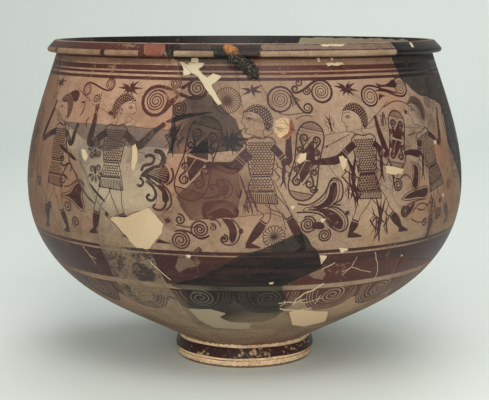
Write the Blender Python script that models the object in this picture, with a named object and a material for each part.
"""A large open krater of painted fired clay: a mended bowl with a sloping lip and a low ring foot.

All lengths are metres, +Z is up and the origin is the centre of the foot's underside.
The painted front faces -Y. A bearing is measured from the front towards +X.
"""

import math

import bmesh
import bpy
import numpy as np
from mathutils import Vector

# Whole vessel
HEIGHT = 0.372
BELLY_RADIUS = 0.2526
BELLY_HEIGHT = 0.205
WALL = 0.0075

# Lip: a flat rim, a face that slopes out and down, and a rounded edge over the neck
NECK_RADIUS = 0.2163
LIP_RADIUS = 0.2268
LIP_DEPTH = 0.0143
LIP_EDGE_RADIUS = 0.003
RIM_RADIUS = 0.2182
RIM_WIDTH = 0.0055

# Foot: a low ring with a swollen edge, hollow underneath
FOOT_RADIUS = 0.0794
FOOT_SWELL_RADIUS = 0.0814
FOOT_TOP_RADIUS = 0.0758
FOOT_HEIGHT = 0.0265
FOOT_EDGE = 0.0015
FOOT_RING_WIDTH = 0.0135
FOOT_RECESS = 0.014
FLOOR_THICKNESS = 0.011

# Free curves, as shares of the way between the sizes above: (share of radius, share of height)
BOWL_CURVE = ((0.0, 0.0), (0.31, 0.16), (0.68, 0.384), (0.885, 0.608), (0.964, 0.776), (1.0, 1.0))
SHOULDER_CURVE = ((0.19, 0.393), (0.691, 0.786), (1.0, 1.0))
FOOT_SWELL_SHARE = 0.64

# Fineness of the turned surfaces
TURN_STEPS = 72
OUTER_STEPS = 18
INNER_STEPS = 12
FLOOR_STEPS = 4
EDGE_STEPS = 4
SHARP_ANGLE = math.radians(32)

# Gap between pieces that touch
GAP = 0.0003
MILLIMETRE = 0.001

# How far a fill's cutter reaches outside and inside the wall
CUT_OUTSIDE = 0.003
CUT_INSIDE = 0.026

# Plaster fills: bearing in degrees, height as a share of the wall from foot to lip,
# and the outline in millimetres on the wall (to the right, up the wall)
FILLS = {
    "plaster_fill_frieze": (
        -25.8, 0.487,
        ((-31.4, 6.0), (-29.2, 9.4), (-10.8, 10.5), (14.8, 22.0), (31.5, 5.2), (28.8, -4.2),
         (12.0, -22.5), (-2.9, -22.4), (-11.5, -12.6), (-19.6, -3.6), (-25.7, 1.8)),
    ),
    "plaster_fill_neck": (
        -11.4, 0.929,
        ((-19.5, 19.4), (-12.5, 17.6), (-7.5, 19.6), (2.6, 19.8), (1.8, 16.4), (-2.6, 12.6), (2.6, 8.6),
         (7.0, 4.6), (12.5, 9.3), (21.8, 5.9), (12.2, -3.4), (23.8, -22.6), (19.6, -23.7), (5.7, -7.2),
         (-2.5, 5.0), (-9.6, 9.4), (-14.6, 13.4)),
    ),
    "plaster_fill_lower_left": (
        -7.3, 0.155,
        ((-34.8, 27.7), (-9.9, 30.8), (5.0, 22.7), (-3.4, 10.4), (7.3, -3.6), (29.0, -10.9),
         (24.0, -33.0), (-14.9, -29.6), (-27.4, -3.7)),
    ),
    "plaster_fill_lower_right": (
        25.9, 0.150,
        ((-38.7, 23.3), (-28.2, 28.7), (11.0, 16.7), (28.9, -25.9), (5.2, -33.8), (-17.0, -18.9)),
    ),
    "plaster_fill_right": (
        38.1, 0.652,
        ((-13.2, 5.2), (-2.9, 4.9), (13.3, -0.1), (10.2, -5.0), (-8.2, -4.1), (-12.5, -1.3)),
    ),
    "plaster_fill_shield": (
        13.2, 0.704,
        ((-5.8, -2.1), (-0.5, 5.2), (5.7, 6.0), (4.9, -1.4), (-2.5, -6.0)),
    ),
    "plaster_fill_arm": (
        23.5, 0.684,
        ((-5.1, 7.2), (0.0, 8.1), (4.8, 4.2), (3.4, -2.8), (-0.2, -8.2), (-3.1, -3.0)),
    ),
    "plaster_fill_left": (
        -26.6, 0.699,
        ((-4.6, 11.7), (-0.9, 14.4), (2.7, 10.0), (4.3, -2.0), (1.0, -14.2), (-3.5, -10.5), (-3.2, -0.3)),
    ),
}

# Corroded iron on the lip and neck: a run of knobs from upper left to lower right.
# Each knob is (bearing in degrees, drop below the rim, distance out from the neck, radius)
IRON_KNOBS = (
    (-4.1, 0.0050, 0.0078, 0.0052),
    (-3.2, 0.0085, 0.0100, 0.0068),
    (-2.4, 0.0135, 0.0092, 0.0070),
    (-1.3, 0.0165, 0.0062, 0.0068),
    (-0.2, 0.0195, 0.0048, 0.0062),
    (0.9, 0.0235, 0.0046, 0.0070),
    (2.0, 0.0275, 0.0050, 0.0062),
    (2.7, 0.0310, 0.0050, 0.0044),
)
IRON_NODULES = 22
IRON_NODULE_RADIUS = 0.0024
IRON_SEED = 5
IRON_GRAIN = 0.0017
IRON_SEAT_DEPTH = 0.060

# Colours from the piece: fired clay, corroded iron and plaster
CLAY_COLOUR = (0.46, 0.29, 0.17, 1.0)
IRON_COLOUR = (0.10, 0.055, 0.03, 1.0)
PLASTER_COLOUR = (0.66, 0.57, 0.38, 1.0)

NECK_HEIGHT = HEIGHT - LIP_DEPTH


def clear_scene():
    """Removes whatever the file opened with."""
    for item in list(bpy.data.objects):
        bpy.data.objects.remove(item, do_unlink=True)


def plain_material(name, colour, roughness, metallic=0.0):
    """Makes a Principled material of one colour."""
    material = bpy.data.materials.new(name)
    material.use_nodes = True
    shader = material.node_tree.nodes["Principled BSDF"]
    shader.inputs["Base Color"].default_value = colour
    shader.inputs["Roughness"].default_value = roughness
    shader.inputs["Metallic"].default_value = metallic
    return material


def natural_spline(knots, values, places):
    """Gives a natural cubic spline's values at places."""
    count = len(knots)
    steps = np.diff(knots)
    matrix = np.eye(count)
    right = np.zeros(count)
    for i in range(1, count - 1):
        matrix[i, i - 1] = steps[i - 1]
        matrix[i, i] = 2 * (steps[i - 1] + steps[i])
        matrix[i, i + 1] = steps[i]
        right[i] = 6 * ((values[i + 1] - values[i]) / steps[i] - (values[i] - values[i - 1]) / steps[i - 1])
    bends = np.linalg.solve(matrix, right)
    index = np.clip(np.searchsorted(knots, places) - 1, 0, count - 2)
    span = steps[index]
    before = (knots[index + 1] - places) / span
    after = 1 - before
    curve = (before ** 3 - before) * bends[index] + (after ** 3 - after) * bends[index + 1]
    return before * values[index] + after * values[index + 1] + curve * span ** 2 / 6


def smooth_curve(points, steps):
    """Runs one smooth curve through points and returns steps + 1 even points on it."""
    points = np.array(points)
    knots = np.concatenate([[0.0], np.cumsum(np.hypot(*np.diff(points, axis=0).T))])
    places = np.linspace(0.0, knots[-1], steps + 1)
    return np.stack([natural_spline(knots, points[:, k], places) for k in (0, 1)], axis=1)


def wall_curve(steps):
    """Returns the outside of the wall, foot to lip, as (radius, height) points."""
    foot = np.array((FOOT_TOP_RADIUS, FOOT_HEIGHT))
    belly = np.array((BELLY_RADIUS, BELLY_HEIGHT))
    neck = np.array((NECK_RADIUS, NECK_HEIGHT))
    through = [foot + np.array(share) * (belly - foot) for share in BOWL_CURVE]
    through += [belly + np.array(share) * (neck - belly) for share in SHOULDER_CURVE]
    return smooth_curve(through, steps)


def outward_normals(curve):
    """Returns the unit normals of a curve that runs upwards on the vessel's outside."""
    along = np.gradient(curve, axis=0)
    along /= np.linalg.norm(along, axis=1)[:, None]
    return np.stack([along[:, 1], -along[:, 0]], axis=1)


def inner_wall(steps):
    """Returns the inside of the wall, foot to lip, at the wall's thickness from its outside."""
    fine = wall_curve(steps * 4)
    thickness = WALL + (FLOOR_THICKNESS - WALL) * np.linspace(1.0, 0.0, len(fine)) ** 3
    return (fine - outward_normals(fine) * thickness[:, None])[::4]


def lip_curve():
    """Returns the lip from the rim's inner corner, over its edge, to the neck."""
    edge = (LIP_RADIUS - LIP_EDGE_RADIUS, NECK_HEIGHT + LIP_EDGE_RADIUS + 0.3 * LIP_EDGE_RADIUS)
    angles = np.radians(np.linspace(50, -90, EDGE_STEPS + 1))
    rounded = [(edge[0] + LIP_EDGE_RADIUS * math.cos(a), edge[1] + LIP_EDGE_RADIUS * math.sin(a)) for a in angles]
    rim = [(RIM_RADIUS - RIM_WIDTH, HEIGHT), (RIM_RADIUS, HEIGHT)]
    return rim + rounded


def foot_curve():
    """Returns the foot from just below the wall, round its swollen edge, to the underside's centre."""
    swell = (FOOT_SWELL_RADIUS, FOOT_HEIGHT * FOOT_SWELL_SHARE)
    side = smooth_curve([(FOOT_TOP_RADIUS, FOOT_HEIGHT), swell, (FOOT_RADIUS, FOOT_EDGE)], EDGE_STEPS + 1)[1:]
    inside = FOOT_RADIUS - FOOT_RING_WIDTH
    under = [
        (FOOT_RADIUS - FOOT_EDGE, 0.0),
        (inside, 0.0),
        (inside - FOOT_EDGE, FOOT_RECESS - FOOT_EDGE),
        (inside - 3 * FOOT_EDGE, FOOT_RECESS),
        (0.0, FOOT_RECESS),
    ]
    return [tuple(p) for p in side] + under


def vessel_profile():
    """Returns the whole section, from the inside's lowest point over the lip to the underside's centre."""
    inner = inner_wall(INNER_STEPS)
    start = inner[0]
    floor_height = FOOT_RECESS + FLOOR_THICKNESS
    shares = np.linspace(0.0, 1.0, FLOOR_STEPS + 1)[:-1]
    floor = [(start[0] * t, floor_height + (start[1] - floor_height) * t ** 2) for t in shares]
    outer = wall_curve(OUTER_STEPS)[::-1]
    return floor + [tuple(p) for p in inner] + lip_curve() + [tuple(p) for p in outer] + foot_curve()


def offset_path(points, distance, closed):
    """Moves every stretch of a path to the left of its run by a distance, with its corners kept sharp."""
    points = [Vector(p) for p in points]
    runs = [(b - a).normalized() for a, b in zip(points, points[1:] + points[:1])]
    lefts = [Vector((-run.y, run.x)) for run in runs]
    moved = []
    for index, point in enumerate(points):
        before, after = lefts[index - 1], lefts[index]
        if not closed and index == 0:
            before = after
        if not closed and index == len(points) - 1:
            after = before
        moved.append(point + (before + after) * distance / (1 + before.dot(after)))
    return moved


def lip_seat_profile():
    """Returns a solid plug's section that follows the lip and neck from outside, one gap away."""
    wall = [tuple(p) for p in wall_curve(OUTER_STEPS)[::-1] if p[1] > HEIGHT - IRON_SEAT_DEPTH]
    skin = offset_path(lip_curve()[1:] + wall, GAP, closed=False)
    top = (0.0, HEIGHT + GAP)
    corner = (skin[0].x, HEIGHT + GAP)
    return [top, corner] + [tuple(p) for p in skin] + [(0.0, skin[-1].y)]


def turned_mesh(name, profile):
    """Turns a section about the Z axis into one closed mesh."""
    shape = bmesh.new()
    verts = [shape.verts.new((radius, 0.0, height)) for radius, height in profile]
    edges = [shape.edges.new(pair) for pair in zip(verts, verts[1:])]
    bmesh.ops.spin(
        shape, geom=verts + edges, cent=(0, 0, 0), axis=(0, 0, 1), dvec=(0, 0, 0),
        angle=2 * math.pi, steps=TURN_STEPS, use_merge=True,
    )
    bmesh.ops.remove_doubles(shape, verts=shape.verts, dist=1e-6)
    bmesh.ops.recalc_face_normals(shape, faces=shape.faces)
    mesh = bpy.data.meshes.new(name)
    shape.to_mesh(mesh)
    shape.free()
    mesh.shade_smooth()
    mesh.set_sharp_from_angle(angle=SHARP_ANGLE)
    return mesh


def place(name, mesh, material):
    """Puts a piece into the scene under its own name."""
    piece = bpy.data.objects.new(name, mesh)
    bpy.context.scene.collection.objects.link(piece)
    if material:
        mesh.materials.clear()
        mesh.materials.append(material)
    return piece


def make_cutter(name, mesh):
    """Puts a cutting shape into the scene, shown as wire and never rendered."""
    cutter = place(name, mesh, None)
    cutter.hide_render = True
    cutter.display_type = "WIRE"
    return cutter


def cut(piece, cutter, operation):
    """Adds an exact Boolean with a cutter."""
    modifier = piece.modifiers.new(cutter.name, "BOOLEAN")
    modifier.object = cutter
    modifier.operation = operation
    modifier.solver = "EXACT"


def wall_frame(bearing, share):
    """Returns a place on the wall's outside with its directions: right, up the wall, and outwards."""
    height = FOOT_HEIGHT + share * (NECK_HEIGHT - FOOT_HEIGHT)
    curve = wall_curve(200)
    normals = outward_normals(curve)
    index = int(np.argmin(np.abs(curve[:, 1] - height)))
    radius, height = curve[index]
    out_r, out_z = normals[index]
    angle = math.radians(bearing)
    radial = Vector((math.sin(angle), -math.cos(angle), 0.0))
    right = Vector((math.cos(angle), math.sin(angle), 0.0))
    outwards = radial * out_r + Vector((0.0, 0.0, out_z))
    upwards = Vector((0.0, 0.0, out_r)) - radial * out_z
    return radial * radius + Vector((0.0, 0.0, height)), right, upwards, outwards


def prism_mesh(name, outline, frame):
    """Stands an outline in metres on the wall and extrudes it through the wall's thickness."""
    centre, right, upwards, outwards = frame
    shape = bmesh.new()
    floor = centre - outwards * CUT_INSIDE
    verts = [shape.verts.new(floor + right * p[0] + upwards * p[1]) for p in outline]
    face = shape.faces.new(verts)
    grown = bmesh.ops.extrude_face_region(shape, geom=[face])["geom"]
    tops = [item for item in grown if isinstance(item, bmesh.types.BMVert)]
    bmesh.ops.translate(shape, verts=tops, vec=outwards * (CUT_OUTSIDE + CUT_INSIDE))
    bmesh.ops.recalc_face_normals(shape, faces=shape.faces)
    mesh = bpy.data.meshes.new(name)
    shape.to_mesh(mesh)
    shape.free()
    return mesh


def make_krater(material):
    """Makes the fired clay vessel: one turned body, open at the top and hollow."""
    return place("krater", turned_mesh("krater", vessel_profile()), material)


def make_fill(name, details, krater, material):
    """Makes one plaster fill: a plug of the wall's own thickness in a hole through the clay."""
    bearing, share, outline_mm = details
    frame = wall_frame(bearing, share)
    outline = [Vector(p) * MILLIMETRE for p in outline_mm]
    inner_outline = offset_path(outline, -GAP, closed=True)
    hole = make_cutter("hole_" + name, prism_mesh("hole_" + name, outline, frame))
    plug = make_cutter("plug_" + name, prism_mesh("plug_" + name, inner_outline, frame))
    cut(krater, hole, "DIFFERENCE")
    fill = place(name, turned_mesh(name, vessel_profile()), material)
    cut(fill, plug, "INTERSECT")
    return fill


def iron_mesh(name):
    """Makes the corroded lump as a run of knobs with small nodules on them."""
    random = np.random.default_rng(IRON_SEED)
    knobs = []
    for bearing, drop, out, radius in IRON_KNOBS:
        angle = math.radians(bearing)
        reach = NECK_RADIUS + out
        knobs.append((Vector((reach * math.sin(angle), -reach * math.cos(angle), HEIGHT - drop)), radius))
    balls = list(knobs)
    for _ in range(IRON_NODULES):
        centre, radius = knobs[int(random.integers(len(knobs)))]
        aim = Vector(random.normal(size=3)).normalized()
        aim.y = -abs(aim.y)
        balls.append((centre + aim * radius * 0.85, IRON_NODULE_RADIUS * random.uniform(0.7, 1.3)))
    shape = bmesh.new()
    for centre, radius in balls:
        grown = bmesh.ops.create_icosphere(shape, subdivisions=2, radius=radius)
        bmesh.ops.translate(shape, verts=grown["verts"], vec=centre)
    mesh = bpy.data.meshes.new(name)
    shape.to_mesh(mesh)
    shape.free()
    return mesh


def make_iron(material):
    """Makes the lump of corroded iron that is seated on the lip's face and the neck below it."""
    lump = place("iron_lump", iron_mesh("iron_lump"), material)
    joined = lump.modifiers.new("one skin", "REMESH")
    joined.mode = "VOXEL"
    joined.voxel_size = IRON_GRAIN
    seat = make_cutter("iron_seat", turned_mesh("iron_seat", lip_seat_profile()))
    cut(lump, seat, "DIFFERENCE")
    return lump


def main():
    """Makes every piece of the krater."""
    clear_scene()
    clay = plain_material("fired_clay", CLAY_COLOUR, 0.55)
    iron = plain_material("corroded_iron", IRON_COLOUR, 0.9, 0.2)
    plaster = plain_material("plaster", PLASTER_COLOUR, 0.85)
    krater = make_krater(clay)
    for name, details in FILLS.items():
        make_fill(name, details, krater, plaster)
    make_iron(iron)


main()
